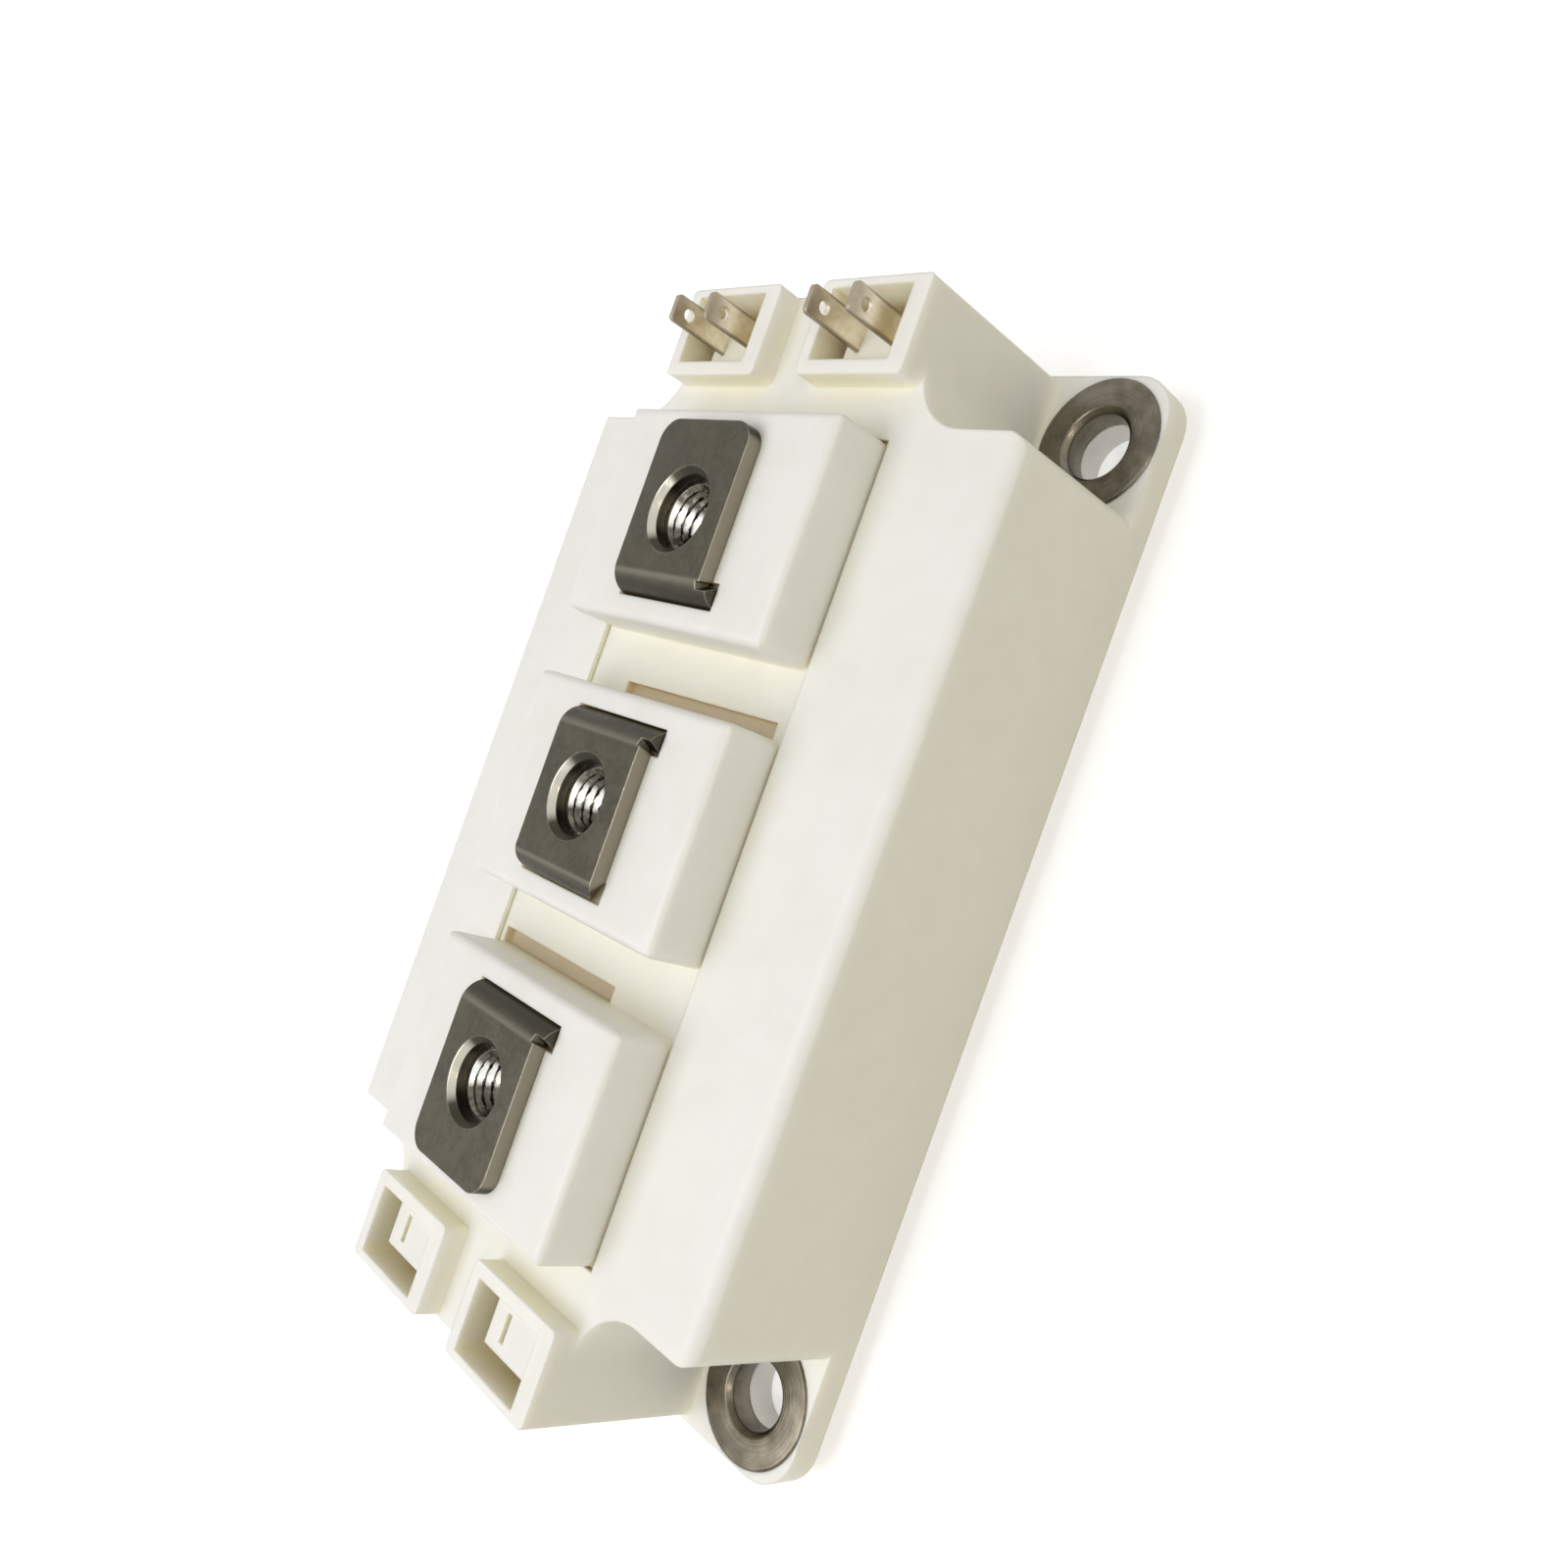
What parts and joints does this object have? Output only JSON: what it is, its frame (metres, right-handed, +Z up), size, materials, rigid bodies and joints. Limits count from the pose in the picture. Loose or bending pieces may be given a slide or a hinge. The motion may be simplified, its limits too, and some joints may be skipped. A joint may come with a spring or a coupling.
{
  "type": "igbt module",
  "caption": "White moulded power module with screw terminals in a row on top, raised blade sockets at its ends and bushed mounting lugs at its corners.",
  "frame": {"origin": "middle of the underside of the base plate", "axes": "+X towards the end that carries the blade tabs, +Z up, away from the heatsink"},
  "size_m": [0.1064, 0.0614, 0.03],
  "materials": {
    "white_plastic": "moulded glass-filled polyester, fine satin",
    "nickel_plated_copper": "dull nickel plating, brushed along the strip",
    "base_nickel": "satin nickel plating",
    "turned_steel": "turned, zinc plated",
    "nut_steel": "bright zinc plated",
    "tinned_brass": "tin plated, drawn",
    "ceramic": "fired alumina, matt",
    "bare_copper": "rolled copper, matt",
    "silicon": "aluminium-faced silicon, smooth",
    "aluminium_wire": "drawn, bright",
    "lead_insulation": "silicone insulation, matt",
    "silicone": "clear soft silicone, glossy"
  },
  "bodies": {
    "root": {"case": "white_plastic", "terminal_cover": "white_plastic", "base_plate": "base_nickel", "mounting_bush_1": "turned_steel", "mounting_bush_2": "turned_steel", "mounting_bush_3": "turned_steel", "mounting_bush_4": "turned_steel", "main_terminal_1": "nickel_plated_copper", "main_terminal_2": "nickel_plated_copper", "main_terminal_3": "nickel_plated_copper", "terminal_nut_1": "nut_steel", "terminal_nut_2": "nut_steel", "terminal_nut_3": "nut_steel", "gate_tab_1": "tinned_brass", "gate_tab_2": "tinned_brass", "sense_tab_1": "tinned_brass", "sense_tab_2": "tinned_brass", "substrate_backing_1": "bare_copper", "substrate_ceramic_1": "ceramic", "substrate_tracks_1": "bare_copper", "igbt_chips_1": "silicon", "diode_chips_1": "silicon", "bond_wires_1": "aluminium_wire", "link_bridge_1": "bare_copper", "substrate_backing_2": "bare_copper", "substrate_ceramic_2": "ceramic", "substrate_tracks_2": "bare_copper", "igbt_chips_2": "silicon", "diode_chips_2": "silicon", "bond_wires_2": "aluminium_wire", "link_bridge_2": "bare_copper", "gate_lead": "lead_insulation", "sense_lead": "lead_insulation", "silicone_gel": "silicone"}
  },
  "joints": []
}
